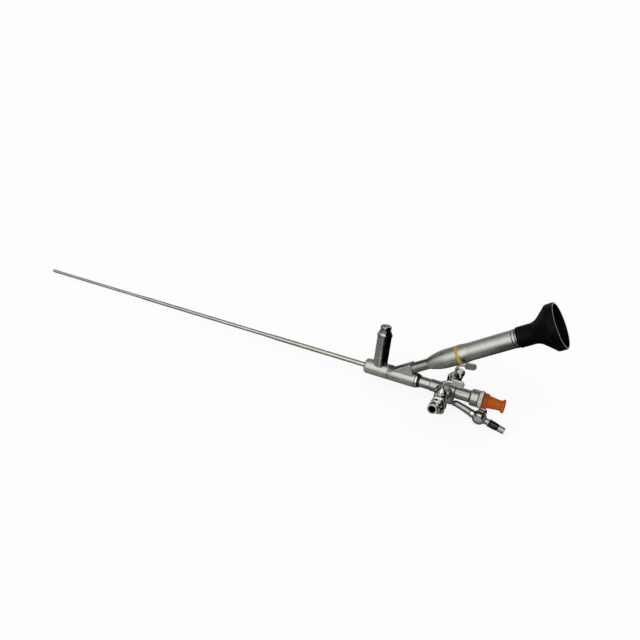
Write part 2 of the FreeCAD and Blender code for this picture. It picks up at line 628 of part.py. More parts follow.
def build_adapter():
    bore_r = ADAPTER_BORE_D / 2
    outer_r = ADAPTER_D / 2
    front_r = ADAPTER_FRONT_D / 2
    spigot_r = ADAPTER_SPIGOT_D / 2
    tail_r = ADAPTER_TAIL_D / 2
    tail_end = ADAPTER_END + ADAPTER_TAIL_LENGTH
    body = lathe([
        (ADAPTER_START - ADAPTER_SPIGOT_LENGTH, 0), (ADAPTER_START - ADAPTER_SPIGOT_LENGTH, spigot_r),
        (ADAPTER_START, spigot_r), (ADAPTER_START, front_r), (ADAPTER_STEP - EDGE, front_r),
        (ADAPTER_STEP + EDGE, outer_r), (ADAPTER_END - EDGE, outer_r), (ADAPTER_END, outer_r - EDGE),
        (ADAPTER_END, tail_r), (tail_end, tail_r), (tail_end, 0),
    ])
    for side in (-1, 1):
        body = body.fuse(placed(saddle(side), arm_frame(side)))
    body = body.fuse(Part.makeCylinder(BOSS_D / 2, BRANCH_DROP, BRANCH_START, Z))
    body = body.fuse(Part.makeSphere(BOSS_D / 2, BRANCH_START)).removeSplitter()
    body = body.cut(rod(CHANNEL_D / 2 + SEAT_GAP, 0, CHANNEL_TUBE_END + FACE_GAP, z=-CHANNEL_DROP))
    body = body.cut(rod(bore_r, CHANNEL_TUBE_END, tail_end + OVERRUN))
    for side in (-1, 1):
        body = body.cut(placed(rod(ARM_BORE_D / 2, 0, 2 * ARM_START), arm_frame(side)))
    body = body.cut(Part.makeCylinder(BRANCH_BORE_D / 2, BRANCH_DROP, BRANCH_START, Z))
    body = body.cut(placed(rod(BRANCH_SPIGOT_D / 2 + SEAT_GAP, 0, BOSS_D), BRANCH))
    pieces["adapter_body"] = body

    thread_r = SLEEVE_THREAD_D / 2
    pieces["rear_sleeve"] = lathe([
        (SLEEVE_START, tail_r + SEAT_GAP), (SLEEVE_START, outer_r - EDGE), (SLEEVE_START + EDGE, outer_r),
        (SLEEVE_END - EDGE, outer_r), (SLEEVE_END, outer_r - EDGE), (SLEEVE_END, thread_r),
        (SLEEVE_THREAD_END, thread_r), (SLEEVE_THREAD_END, bore_r), (tail_end + FACE_GAP, bore_r),
        (tail_end + FACE_GAP, tail_r + SEAT_GAP),
    ])

    nut_r = NUT_D / 2
    bevel = 3 * EDGE
    pieces["union_nut"] = lathe([
        (NUT_START, thread_r + SEAT_GAP), (NUT_START, nut_r - bevel), (NUT_START + bevel, nut_r),
        (NUT_END - 2 * EDGE, nut_r), (NUT_END, nut_r - 2 * EDGE), (NUT_END, thread_r + SEAT_GAP),
    ])
    seal_start = SLEEVE_THREAD_END + FACE_GAP
    pieces["inner_seal"] = rod(thread_r, seal_start, NUT_END).cut(rod(SEAL_HOLE_D / 2, seal_start, NUT_END))
    pieces["flange_ring"] = flange(bore_r)
    pieces["sealing_cap"] = sealing_cap()


def saddle(side):
    """Flared root of a side arm, long along the adapter and narrow across it."""
    half = (SADDLE_FRONT + SADDLE_BACK) / 2
    middle = V(SADDLE_START, side * (SADDLE_FRONT - SADDLE_BACK) / 2, 0)
    foot = Part.Ellipse(middle + Y * half, middle + Z * (SADDLE_HEIGHT / 2), middle)
    top = Part.Ellipse(V(ARM_START, ARM_D / 2 + EDGE, 0), V(ARM_START, 0, ARM_D / 2), V(ARM_START, 0, 0))
    return Part.makeLoft([Part.Wire(foot.toShape()), Part.Wire(top.toShape())], True, True)


def flange(bore_r):
    """Ring with fine teeth round it and the nipple that holds the sealing cap."""
    start = NUT_END + FACE_GAP
    flange_r = FLANGE_D / 2
    nipple_r = NIPPLE_D / 2
    bead_r = NIPPLE_BEAD_D / 2
    end = FLANGE_END + NIPPLE_LENGTH
    points = []
    for tooth in range(2 * FLANGE_TEETH):
        turn = math.pi * tooth / FLANGE_TEETH
        radius = flange_r - FLANGE_TOOTH * (tooth % 2)
        points.append(V(start, radius * math.cos(turn), radius * math.sin(turn)))
    teeth = Part.Face(Part.makePolygon(points + points[:1])).extrude(V(FLANGE_END - start, 0, 0))
    hub = lathe([
        (start, bore_r), (start, flange_r - EDGE), (start + EDGE, flange_r), (FLANGE_END - EDGE, flange_r),
        (FLANGE_END, flange_r - EDGE), (FLANGE_END, bore_r),
    ])
    nipple = lathe([
        (FLANGE_END - EDGE, bore_r), (FLANGE_END - EDGE, nipple_r), (end - NIPPLE_BEAD_START, nipple_r),
        (end - NIPPLE_BEAD_FULL, bead_r), (end - NIPPLE_BEAD_END, bead_r), (end, nipple_r - EDGE), (end, bore_r),
    ])
    return teeth.common(hub).fuse(nipple).removeSplitter()


def sealing_cap():
    """Soft cap with a narrow waist and a flared mouth, snapped over the nipple."""
    start = FLANGE_END + FACE_GAP
    end = FLANGE_END + CAP_LENGTH
    base_r = CAP_BASE_D / 2
    waist_r = CAP_WAIST_D / 2
    end_r = CAP_END_D / 2
    mouth_r = CAP_MOUTH_D / 2
    hole_r = CAP_HOLE_D / 2
    nipple_r = NIPPLE_D / 2 + SEAT_GAP
    bead_r = NIPPLE_BEAD_D / 2 + SEAT_GAP
    nipple_end = FLANGE_END + NIPPLE_LENGTH + FACE_GAP
    bead_start = nipple_end - NIPPLE_BEAD_START - 4 * FACE_GAP
    shoulder, shoulder_mid, shoulder_end = [start + CAP_LENGTH * share for share in CAP_SHOULDER]
    waist_mid, waist, flare_mid = [start + CAP_LENGTH * share for share in CAP_WAIST]
    funnel_mid, funnel_end = [start + CAP_LENGTH * share for share in CAP_FUNNEL]
    return lathe([
        (start, nipple_r), (start, base_r - EDGE), (start + EDGE, base_r), (shoulder, base_r),
        (shoulder_mid, base_r * CAP_SHOULDER_R[0], shoulder_end, base_r * CAP_SHOULDER_R[1]),
        (waist_mid, waist_r * CAP_WAIST_R[0], waist, waist_r),
        (flare_mid, waist_r * CAP_WAIST_R[1], end - EDGE, end_r), (end, end_r - EDGE), (end, mouth_r),
        (funnel_mid, mouth_r * CAP_FUNNEL_R, funnel_end, hole_r), (nipple_end + CAP_LENGTH * CAP_ROOM, hole_r),
        (nipple_end + EDGE, nipple_r * CAP_ROOM_R), (nipple_end, bead_r),
        (bead_start, bead_r), (bead_start, nipple_r),
    ])


def taper_steps(start, end, mid_r, gap=0.0):
    """Steps of a tapered plug between two heights."""
    return [(start, mid_r + PLUG_TAPER * start - gap), (end, mid_r + PLUG_TAPER * end - gap)]


def tapered(start, end, mid_r):
    """The hole that such a plug turns in."""
    return lathe([(start, 0)] + taper_steps(start, end, mid_r) + [(end, 0)])


def build_tap(name, side, lever_turn):
    place = arm_frame(side)
    on_plug = place.multiply(PLUG_AXIS)
    arm = rod(ARM_D / 2, ARM_START + FACE_GAP, ARM_END)
    tap = placed(ring(TAP_BOTTOM, TAP_TOP, 0, BARREL_TAP_D / 2, SOFT_EDGE / 2), PLUG_AXIS)
    arm = arm.fuse(tap).removeSplitter()
    arm = arm.cut(rod(ARM_BORE_D / 2, 0, ARM_END + OVERRUN))
    hole = tapered(TAP_BOTTOM - OVERRUN, TAP_TOP + OVERRUN, PLUG_D / 2)
    pieces[name + "_arm"] = placed(arm.cut(placed(hole, PLUG_AXIS)), place)

    hub_start = TAP_TOP + FACE_GAP
    hub_end = hub_start + HUB_HEIGHT
    hub_r = HUB_D / 2
    body = taper_steps(TAP_BOTTOM + FACE_GAP, hub_start, PLUG_D / 2, PLUG_FIT)
    plug = lathe([(TAP_BOTTOM + FACE_GAP, 0)] + body + [
        (hub_start, hub_r), (hub_start + HUB_RIM, hub_r), (hub_end, HUB_NECK_D / 2), (hub_end, 0),
    ])
    plug = plug.cut(rod(WIRE_D / 2 + SEAT_GAP, hub_end - LEVER_SOCKET - FACE_GAP, hub_end + OVERRUN))
    turned = FreeCAD.Placement(ORIGIN, FreeCAD.Rotation(X, lever_turn))
    on_lever = on_plug.multiply(turned)
    flow = Part.makeCylinder(PLUG_BORE_D / 2, HUB_D, V(0, -HUB_D / 2, 0), Y)
    pieces[name + "_plug"] = placed(plug.cut(flow), on_lever)
    pieces[name + "_lever"] = placed(lever(hub_end - LEVER_SOCKET, -side), on_lever)

    cap_r = CAP_D / 2
    cap_start = TAP_BOTTOM - FACE_GAP
    cap_end = cap_start - CAP_HEIGHT
    cap = lathe([(cap_start, 0), (cap_start, cap_r)] + round_off(cap_end, cap_r, SOFT_EDGE, -1) + [(cap_end, 0)])
    pieces[name + "_cap"] = placed(cap, on_plug)

    start = ARM_END + FACE_GAP
    flow_r = ARM_BORE_D / 2
    base_r = LUER_BASE_D / 2
    mouth_r = LUER_BORE_D / 2
    port_r = LUER_D / 2
    steps = [start + (LUER_END - start) * share for share in LUER_STEPS]
    foot_end, waist, waist_end, band, band_end, groove, groove_end, head = steps
    band_r = port_r + EDGE
    groove_r = port_r - EDGE / 2
    luer = lathe([
        (start, flow_r), (start, base_r - EDGE), (start + EDGE, base_r), (foot_end, base_r),
        (waist, port_r), (waist_end, port_r), (band, band_r), (band_end, band_r), (groove, groove_r),
        (groove_end, groove_r), (head, port_r), (LUER_END - EDGE, port_r),
        (LUER_END, port_r - EDGE), (LUER_END, mouth_r), (LUER_END - LUER_DEPTH, mouth_r),
        (LUER_END - LUER_DEPTH - LUER_CONE, flow_r),
    ])
    pieces[name + "_luer"] = placed(luer, place)


def lever(foot, y_side):
    """Bent wire with a flat tapered paddle; x is the plug's axis here and y_side points to the hands."""
    corner = V(LEVER_RISE, 0, 0)
    wire_end = V(LEVER_TOP, y_side * (PADDLE_START + PADDLE_CORNER), 0)
    wire = bent_rod(WIRE_D / 2, V(foot, 0, 0), corner, wire_end, LEVER_BEND)
    root = PADDLE_ROOT / 2
    tip = PADDLE_TIP / 2
    tip_start = PADDLE_END - PADDLE_CROWN

    def at(y, rise):
        return V(LEVER_TOP + rise, y_side * y, 0)

    outline = [
        Part.makeLine(at(PADDLE_START, root - PADDLE_CORNER), at(PADDLE_START + PADDLE_CORNER, root)),
        Part.makeLine(at(PADDLE_START + PADDLE_CORNER, root), at(tip_start, tip)),
        Part.Arc(at(tip_start, tip), at(PADDLE_END, 0), at(tip_start, -tip)).toShape(),
        Part.makeLine(at(tip_start, -tip), at(PADDLE_START + PADDLE_CORNER, -root)),
        Part.makeLine(at(PADDLE_START + PADDLE_CORNER, -root), at(PADDLE_START, PADDLE_CORNER - root)),
        Part.makeLine(at(PADDLE_START, PADDLE_CORNER - root), at(PADDLE_START, root - PADDLE_CORNER)),
    ]
    paddle = Part.Face(Part.Wire(outline)).extrude(V(0, 0, PADDLE_THICK))
    rims = [edge for edge in paddle.Edges if edge.BoundBox.ZLength < EDGE]
    paddle = paddle.makeFillet(PADDLE_EDGE, rims)
    paddle.translate(V(0, 0, -PADDLE_THICK / 2))
    return wire.fuse(paddle).removeSplitter()


def build_lower_valve():
    spigot_end = VALVE_REACH - VALVE_SOCKET + BRANCH_SEAT
    shoulder = BOSS_D / 2 + EDGE
    tube = rod(BRANCH_D / 2, shoulder, spigot_end).fuse(rod(BRANCH_SPIGOT_D / 2, BRANCH_BORE_D / 2, shoulder))
    tube = tube.cut(rod(BRANCH_BORE_D / 2, 0, VALVE_REACH))
    pieces["branch_tube"] = placed(tube, BRANCH)

    # From here x runs from the valve's centre along the flow and z along its plug
    ball_r = VALVE_D / 2
    socket_end = spigot_end - VALVE_REACH
    ball = Part.makeSphere(ball_r).common(Part.makeBox(
        2 * ball_r, 2 * ball_r, 2 * VALVE_HALF, V(-ball_r, -ball_r, -VALVE_HALF)))
    body = ball.fuse(rod(VALVE_SOCKET_D / 2, -VALVE_SOCKET, 0)).removeSplitter()
    body = body.cut(rod(BRANCH_D / 2 + SEAT_GAP, -VALVE_SOCKET - OVERRUN, socket_end + FACE_GAP))
    body = body.cut(rod(BRANCH_BORE_D / 2, -VALVE_SOCKET, ball_r))
    body = body.cut(rod(OUTLET_SPIGOT_D / 2 + SEAT_GAP, VALVE_PLUG_D / 2 + 2 * EDGE, ball_r + OVERRUN))
    hole = tapered(-VALVE_HALF - OVERRUN, VALVE_HALF + OVERRUN, VALVE_PLUG_D / 2)
    recess_z = -VALVE_HALF + VALVE_CAP_RECESS
    recess = rod(VALVE_CAP_D / 2 + EDGE, -VALVE_HALF - OVERRUN, recess_z)
    body = body.cut(placed(hole, VALVE_AXIS)).cut(placed(recess, VALVE_AXIS))
    pieces["valve_body"] = placed(body, VALVE)

    on_valve = VALVE.multiply(VALVE_AXIS)
    cap_start = -VALVE_HALF - EDGE
    pieces["valve_cap"] = placed(ring(cap_start, recess_z - FACE_GAP, 0, VALVE_CAP_D / 2, EDGE / 2), on_valve)

    stem_r = VALVE_STEM_D / 2
    plug_start = recess_z + FACE_GAP
    seat = KNOB_START + KNOB_SEAT
    plug = lathe([(plug_start, 0)] + taper_steps(plug_start, VALVE_HALF, VALVE_PLUG_D / 2, PLUG_FIT) + [
        (VALVE_HALF, stem_r), (seat, stem_r), (seat, 0),
    ])
    flow = Part.makeCylinder(BRANCH_BORE_D / 2, VALVE_D, V(0, 0, -VALVE_D / 2), Z)
    pieces["valve_plug"] = placed(plug.cut(flow), on_valve)

    knob_r = KNOB_D / 2
    knob_end = KNOB_START + KNOB_LENGTH
    knob = lathe([
        (KNOB_START, stem_r + SEAT_GAP), (KNOB_START, knob_r - EDGE), (KNOB_START + EDGE, knob_r),
    ] + round_off(knob_end, knob_r, SOFT_EDGE, 1) + [
        (knob_end, 0), (seat + FACE_GAP, 0), (seat + FACE_GAP, stem_r + SEAT_GAP),
    ])
    pieces["valve_knob"] = placed(knob, on_valve)
    build_outlet(ball_r)


def build_outlet(ball_r):
    """Neck, barrel and tapered nipple in line behind the lower valve."""
    bore_r = BRANCH_BORE_D / 2
    neck_r = OUTLET_NECK_D / 2
    barrel_r = OUTLET_BARREL_D / 2
    tip_r = OUTLET_TIP_D / 2
    neck = rod(neck_r, ball_r * OUTLET_NECK_SINK, OUTLET_NECK_END - FACE_GAP).cut(Part.makeSphere(ball_r + SEAT_GAP))
    neck = neck.fuse(rod(OUTLET_SPIGOT_D / 2, VALVE_PLUG_D / 2 + 3 * EDGE, OUTLET_NECK_END - FACE_GAP))
    neck = neck.removeSplitter().cut(rod(bore_r, 0, OUTLET_NECK_END))
    pieces["outlet_neck"] = placed(neck, VALVE)
    pieces["outlet_barrel"] = placed(ring(OUTLET_NECK_END, OUTLET_BARREL_END - FACE_GAP, bore_r, barrel_r), VALVE)
    pieces["outlet_tip"] = placed(lathe([
        (OUTLET_BARREL_END, bore_r), (OUTLET_BARREL_END, tip_r), (OUTLET_END - EDGE, tip_r),
        (OUTLET_END, tip_r - EDGE), (OUTLET_END, bore_r),
    ]), VALVE)


def lowest_on_ring(centre, axis, radius, up):
    """Lowest point of a circle, when up points this way."""
    across = up - axis * up.dot(axis)
    return centre - across.normalize() * radius


def lowest(rings, up):
    points = [lowest_on_ring(centre, axis, radius, up) for centre, axis, radius in rings]
    return min(points, key=lambda point: point.dot(up))


def settle():
    """Placement that lays the instrument on its tip, its outlet and its valve knob."""
    tip = [(V(-WORKING_LENGTH + TIP_FACE_BACK, 0, 0), X, TIP_HEAD_R)]
    flow = VALVE.Rotation.multVec(X)
    outlet = [
        (VALVE.multVec(V(OUTLET_END - EDGE, 0, 0)), flow, OUTLET_TIP_D / 2),
        (VALVE.multVec(V(OUTLET_BARREL_END - EDGE, 0, 0)), flow, OUTLET_BARREL_D / 2),
    ]
    knob_out = KNOB_START + KNOB_LENGTH
    knob = [
        (VALVE.multVec(V(0, 0, knob_out - SOFT_EDGE)), Y, KNOB_D / 2),
        (VALVE.multVec(V(0, 0, knob_out - SOFT_EDGE * ROUND_MIDDLE)), Y, KNOB_D / 2 - SOFT_EDGE * ROUND_MIDDLE),
    ]
    up = Z
    for _ in range(SETTLE_ROUNDS):
        front = lowest(tip, up)
        rear = lowest(outlet, up)
        side = lowest(knob, up)
        up = (rear - front).cross(side - front).normalize()
    table = frame(front, (X - up * X.dot(up)).normalize(), up)
    return table.inverse()


def build_all():
    build_shaft()
    build_handle()
    build_light_post()
    build_eyepiece()
    build_adapter()
    build_tap("left", -1, 0)
    build_tap("right", 1, RIGHT_LEVER_TURN)
    build_lower_valve()


def rest_place():
    """Rest placement with the origin under the middle of the whole instrument."""
    laid = settle()
    whole = placed(Part.makeCompound(list(pieces.values())), laid).optimalBoundingBox(False, False)
    middle = FreeCAD.Placement(V(-whole.Center.x, -whole.Center.y, 0), FreeCAD.Rotation())
    return middle.multiply(laid)


build_all()
REST = rest_place()
os.makedirs("parts", exist_ok=True)
for name, shape in pieces.items():
    placed(shape, REST).exportStep("parts/" + name + ".step")
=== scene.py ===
import bpy
import math
from mathutils import Euler, Matrix, Vector


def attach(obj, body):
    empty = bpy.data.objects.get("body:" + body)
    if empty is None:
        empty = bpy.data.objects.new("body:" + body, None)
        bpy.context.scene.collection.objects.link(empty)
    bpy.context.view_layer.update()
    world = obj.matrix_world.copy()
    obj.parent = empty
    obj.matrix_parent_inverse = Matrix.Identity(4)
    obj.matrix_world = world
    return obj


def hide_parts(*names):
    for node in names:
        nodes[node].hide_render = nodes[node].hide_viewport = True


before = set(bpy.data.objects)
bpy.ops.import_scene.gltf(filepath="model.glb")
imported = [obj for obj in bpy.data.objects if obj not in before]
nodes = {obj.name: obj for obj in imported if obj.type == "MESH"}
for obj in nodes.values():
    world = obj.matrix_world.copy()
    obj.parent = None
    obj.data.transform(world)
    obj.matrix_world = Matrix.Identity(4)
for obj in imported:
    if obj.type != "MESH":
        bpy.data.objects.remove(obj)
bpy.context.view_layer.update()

# Sizes on the instrument are in millimetres and angles in degrees. The studio is in metres.
MM = 0.001

# The instrument is drawn straight, with x along its shaft from the place where the sheath enters the
# handle, and is then tipped over to lie on its tip, outlet and valve knob.
REST_X = 92.8277
REST_Z = 15.1379
REST_ROLL = -14.7925
REST_PITCH = -2.484945

# Where the arms of the instrument start, and how far they lean from the shaft's line. All but the
# lower branch lean up.
EYE_FOOT_X = 23.4
EYE_ANGLE = 32.7
POST_FOOT_X = 11.5
POST_ANGLE = 90.0
ARM_X = 64.2
VALVE_X = 90.227
VALVE_Z = -13.558
BRANCH_SLOPE = 13.8

# Places along an arm, and sizes round it: where the cap starts, and where painted highlight and painted shade
# begin
EYECUP_LIP = 124.15
LIP_EDGE = 0.1
CAP_START = 90.55
# Length over which the painted shade at the cap's base fades out
CAP_SHADE_LENGTH = 7.0
SOCKET_MOUTH_R = 2.55
SOCKET_EDGE = 0.1

SHAFT = Matrix.Translation(Vector((REST_X, 0, REST_Z)) * MM) @ Euler(
    (math.radians(REST_ROLL), math.radians(REST_PITCH), 0)).to_matrix().to_4x4()


def leaning(x, z, up):
    """Place on the instrument whose x axis leans up by so many degrees from the shaft's line."""
    return SHAFT @ Matrix.Translation(Vector((x, 0, z)) * MM) @ Matrix.Rotation(math.radians(-up), 4, "Y")


def side_tap(side):
    """Place of a side tap: x out along its arm, z up along its plug; side is -1 left, 1 right."""
    out = Vector((0, side, 0))
    plug = Vector((0, 0, 1))
    turned = Matrix((out, plug.cross(out), plug)).transposed().to_4x4()
    return SHAFT @ Matrix.Translation(Vector((ARM_X, 0, 0)) * MM) @ turned


EYEPIECE = leaning(EYE_FOOT_X, 0, EYE_ANGLE)
POST = leaning(POST_FOOT_X, 0, POST_ANGLE)
VALVE = leaning(VALVE_X, VALVE_Z, -BRANCH_SLOPE)
LEFT_TAP = side_tap(-1)
RIGHT_TAP = side_tap(1)

# Materials

# Most of a noise pattern lies between these two values.
NOISE_LOW = 0.3
NOISE_HIGH = 0.7

# How open a place is to its surroundings, for the painted shade in joints: deep in a joint, and clear of it
IN_JOINT = 0.25
IN_OPEN = 0.8
JOINT_SAMPLES = 8

# Cells a millimetre: along a turning line, few enough for it to run right round, and of packed fibres
LINE_CELLS = 0.04
FIBRE_CELLS = 9.0


class Sheet:
    """One material's node tree. Each method that adds a pattern returns the socket that carries it."""

    def __init__(self, name, place=None):
        self.material = bpy.data.materials.new(name)
        self.material.use_nodes = True
        self.tree = self.material.node_tree
        self.tree.nodes.clear()
        self.output = self.add("ShaderNodeOutputMaterial")
        self.shader = self.add("ShaderNodeBsdfPrincipled")
        self.join(self.shader.outputs["BSDF"], self.output, "Surface")
        mapping = self.add("ShaderNodeMapping")
        mapping.vector_type = "TEXTURE"
        if place is not None:
            mapping.inputs["Location"].default_value = place.to_translation()
            mapping.inputs["Rotation"].default_value = place.to_euler()
        self.join(self.add("ShaderNodeTexCoord").outputs["Object"], mapping, "Vector")
        self.local = mapping.outputs["Vector"]

    def add(self, kind, **inputs):
        """Node of a kind, with its inputs set by name; an underscore stands for a space."""
        node = self.tree.nodes.new(kind)
        for name, value in inputs.items():
            node.inputs[name.replace("_", " ")].default_value = value
        return node

    def join(self, source, node, name):
        self.tree.links.new(source, node.inputs[name])

    def stretched(self, cells):
        """Coordinates along the place's axes, with so many cells a millimetre along all or each of them."""
        if isinstance(cells, (int, float)):
            cells = (cells, cells, cells)
        scale = self.add("ShaderNodeMapping", Scale=[count / MM for count in cells])
        self.join(self.local, scale, "Vector")
        return scale.outputs["Vector"]

    def noise(self, cells, detail, rough=0.5):
        node = self.add("ShaderNodeTexNoise", Scale=1.0, Detail=detail, Roughness=rough)
        self.join(self.stretched(cells), node, "Vector")
        return node.outputs["Fac"]

    def ramp(self, source, low, high, start=NOISE_LOW, end=NOISE_HIGH):
        """Colour or grey that runs from low to high while the source goes from start to end."""
        node = self.add("ShaderNodeValToRGB")
        for element, position, colour in zip(node.color_ramp.elements, (start, end), (low, high)):
            element.position = position
            if isinstance(colour, (int, float)):
                colour = (colour, colour, colour)
            element.color = (*colour, 1)
        self.join(source, node, "Fac")
        return node.outputs["Color"]

    def spread(self, source, low, high, start=NOISE_LOW, end=NOISE_HIGH):
        """Number that runs from low to high while the source goes from start to end."""
        node = self.add("ShaderNodeMapRange", From_Min=start, From_Max=end, To_Min=low, To_Max=high)
        self.join(source, node, "Value")
        return node.outputs["Result"]

    def along(self, low, high, start, end):
        """Number that runs from low to high between two places along the place's x axis."""
        split = self.add("ShaderNodeSeparateXYZ")
        self.join(self.local, split, "Vector")
        return self.spread(split.outputs["X"], low, high, start * MM, end * MM)

    def off_axis(self, low, high, start, end):
        """Number that runs from low to high between two distances from the place's x axis."""
        length = self.add("ShaderNodeVectorMath")
        length.operation = "LENGTH"
        self.join(self.stretched((0, 1, 1)), length, "Vector")
        return self.spread(length.outputs["Value"], low, high, start, end)

    def blend(self, mode, first, second, share=None):
        """Second colour blended over the first, everywhere or by a share that is a pattern too."""
        node = self.add("ShaderNodeMixRGB", Fac=1.0)
        node.blend_type = mode
        self.join(first, node, "Color1")
        self.join(second, node, "Color2")
        if share is not None:
            self.join(share, node, "Fac")
        return node.outputs["Color"]

    def grime_and_painted_shade(self, colour, reach, dark):
        """Painted shade, with some grime, where little is open round a place: in joints, corners and by the
        floor.
        """
        shade = self.add("ShaderNodeAmbientOcclusion", Distance=reach * MM)
        shade.samples = JOINT_SAMPLES
        grime_and_shade = self.ramp(shade.outputs["AO"], dark, 1.0, start=IN_JOINT, end=IN_OPEN)
        return self.blend("MULTIPLY", colour, grime_and_shade)

    def bump(self, source, strength, depth, below=None):
        node = self.add("ShaderNodeBump", Strength=strength, Distance=depth * MM)
        self.join(source, node, "Height")
        if below is not None:
            self.join(below, node, "Normal")
        return node.outputs["Normal"]

    def surface(self, colour, rough=None, normal=None, **plain):
        """Joins the patterns to the shader, sets its plain values by name and returns the material."""
        for source, name in ((colour, "Base Color"), (rough, "Roughness"), (normal, "Normal")):
            if source is not None:
                self.join(source, self.shader, name)
        for name, value in plain.items():
            self.shader.inputs[name.replace("_", " ")].default_value = value
        return self.material


def turned_steel(name, place, pale, dark, rough, lines=2.2, joint_grime_and_shade=0.35, specks=0.12):
    """Steel with fine turning lines round the place's x axis, smudges, and painted shade with some grime in
    joints.
    """
    s = Sheet(name, place)
    smudges = s.noise(cells=0.09, detail=5.0)
    turning = s.noise(cells=(lines, LINE_CELLS, LINE_CELLS), detail=2.0)
    blasting = s.noise(cells=1.6, detail=4.0, rough=0.7)
    colour = s.ramp(smudges, dark, pale, end=0.68)
    colour = s.blend("MULTIPLY", colour, s.ramp(turning, low=0.86, high=1.0))
    # Painted shade, with some grime, in joints, corners and by the floor
    colour = s.grime_and_painted_shade(colour, reach=2.5, dark=joint_grime_and_shade)
    dullness = s.spread(smudges, low=rough * 0.82, high=rough * 1.2)
    grain = s.bump(blasting, strength=specks, depth=0.01)
    grooves = s.bump(turning, strength=0.25, depth=0.01, below=grain)
    return s.surface(colour, dullness, grooves, Metallic=1.0)


def polished_steel(name, place, pale, dark, rough, joint_grime_and_shade=0.1, mouth_r=None):
    """Bright polished steel with faint wiping marks, painted shade in joints, and near-black painted shade
    inside a mouth round the place's x axis.
    """
    s = Sheet(name, place)
    smudges = s.noise(cells=0.16, detail=4.0)
    wipes = s.noise(cells=(0.5, 2.4, 0.5), detail=3.0, rough=0.65)
    colour = s.ramp(smudges, dark, pale)
    # Painted shade, with some grime, in joints, corners and by the floor
    colour = s.grime_and_painted_shade(colour, reach=3.0, dark=joint_grime_and_shade)
    if mouth_r is not None:
        # Painted shade: near black inside the mouth
        painted_mouth_shade = s.off_axis(low=0.02, high=1.0, start=mouth_r, end=mouth_r + SOCKET_EDGE)
        colour = s.blend("MULTIPLY", colour, painted_mouth_shade)
    dullness = s.spread(wipes, low=rough * 0.6, high=rough * 1.5)
    return s.surface(colour, dullness, s.bump(wipes, strength=0.1, depth=0.008), Metallic=1.0)


def tap_steel(name, place):
    """The brightest steel, of a side tap and its socket."""
    return polished_steel(
        name, place,
        pale=(0.52, 0.525, 0.49), dark=(0.42, 0.42, 0.39), rough=0.06, mouth_r=SOCKET_MOUTH_R)


def moulded(name, place, pale, dark, rough, gloss=0.5, lip=None, shade_start=None):
    """Plastic, rubber or enamel with a fine skin; a painted highlight past its lip, and painted shade that
    fades out along x from its start.
    """
    s = Sheet(name, place)
    cloud = s.noise(cells=0.12, detail=5.0, rough=0.6)
    skin = s.noise(cells=2.0, detail=3.0)
    colour = s.ramp(cloud, dark, pale, start=0.32)
    # Painted shade, with some grime, in joints, corners and by the floor
    colour = s.grime_and_painted_shade(colour, reach=2.0, dark=0.55)
    # Painted shade: darker towards the base of the cap
    if shade_start is not None:
        painted_base_shade = s.along(low=0.62, high=1.0, start=shade_start, end=shade_start + CAP_SHADE_LENGTH)
        colour = s.blend("MULTIPLY", colour, painted_base_shade)
    # Painted highlight: a pale band past the lip
    if lip is not None:
        painted_lip_highlight = s.along(low=0.0, high=1.0, start=lip - LIP_EDGE, end=lip)
        lip_highlight_colour = s.ramp(skin, low=(0.22, 0.25, 0.24), high=(0.30, 0.34, 0.33))
        colour = s.blend("MIX", colour, lip_highlight_colour, share=painted_lip_highlight)
    dullness = s.spread(cloud, low=rough * 0.85, high=rough * 1.15)
    return s.surface(colour, dullness, s.bump(skin, strength=0.3, depth=0.03), Specular_IOR_Level=gloss)


def lens_glass(name, place, tint, paler):
    """Clear glass with a faint film of cleaning marks."""
    s = Sheet(name, place)
    film = s.noise(cells=0.3, detail=2.0)
    dullness = s.spread(film, low=0.01, high=0.05)
    return s.surface(s.ramp(film, tint, paler), dullness, Transmission_Weight=1.0, IOR=1.5)


def fibre_bundle(name, place):
    """Polished face of packed glass fibres, each pale at its middle."""
    s = Sheet(name, place)
    packing = s.add("ShaderNodeTexVoronoi", Scale=1.0)
    s.join(s.stretched(FIBRE_CELLS), packing, "Vector")
    off_middle = packing.outputs["Distance"]
    colour = s.ramp(off_middle, low=(0.75, 0.7, 0.55), high=(0.2, 0.17, 0.1), start=0.2)
    dullness = s.spread(off_middle, low=0.1, high=0.35, start=0.0, end=0.8)
    return s.surface(colour, dullness, s.bump(off_middle, strength=0.3, depth=0.02))


# Steels of the shaft, the handle and the eyepiece

satin_shaft = turned_steel(
    "satin steel of the handle", SHAFT,
    pale=(0.375, 0.38, 0.34), dark=(0.295, 0.30, 0.268), rough=0.38)
satin_eye = turned_steel(
    "satin steel of the eyepiece", EYEPIECE,
    pale=(0.42, 0.43, 0.39), dark=(0.33, 0.34, 0.305), rough=0.38, joint_grime_and_shade=0.9)
satin_neck = turned_steel(
    "satin steel of the neck", EYEPIECE,
    pale=(0.29, 0.295, 0.27), dark=(0.23, 0.235, 0.215), rough=0.36)
sheath_steel = turned_steel(
    "drawn steel of the sheath", SHAFT,
    pale=(0.38, 0.38, 0.335), dark=(0.28, 0.28, 0.245), rough=0.28, lines=0.6)
post_steel = turned_steel(
    "turned steel of the light post", POST,
    pale=(0.50, 0.51, 0.47), dark=(0.40, 0.41, 0.375), rough=0.13, specks=0.02)
# A darker copy of the polished steel: painted shade that dims the lamp's reflection on the light fittings
bright_post = polished_steel(
    "polished steel of the light fittings", POST,
    pale=(0.31, 0.32, 0.30), dark=(0.24, 0.245, 0.23), rough=0.12)
bright_collar = polished_steel(
    "polished steel of the collar", SHAFT,
    pale=(0.46, 0.46, 0.435), dark=(0.37, 0.37, 0.345), rough=0.12)

# Steels of the adapter, the taps and the lower valve

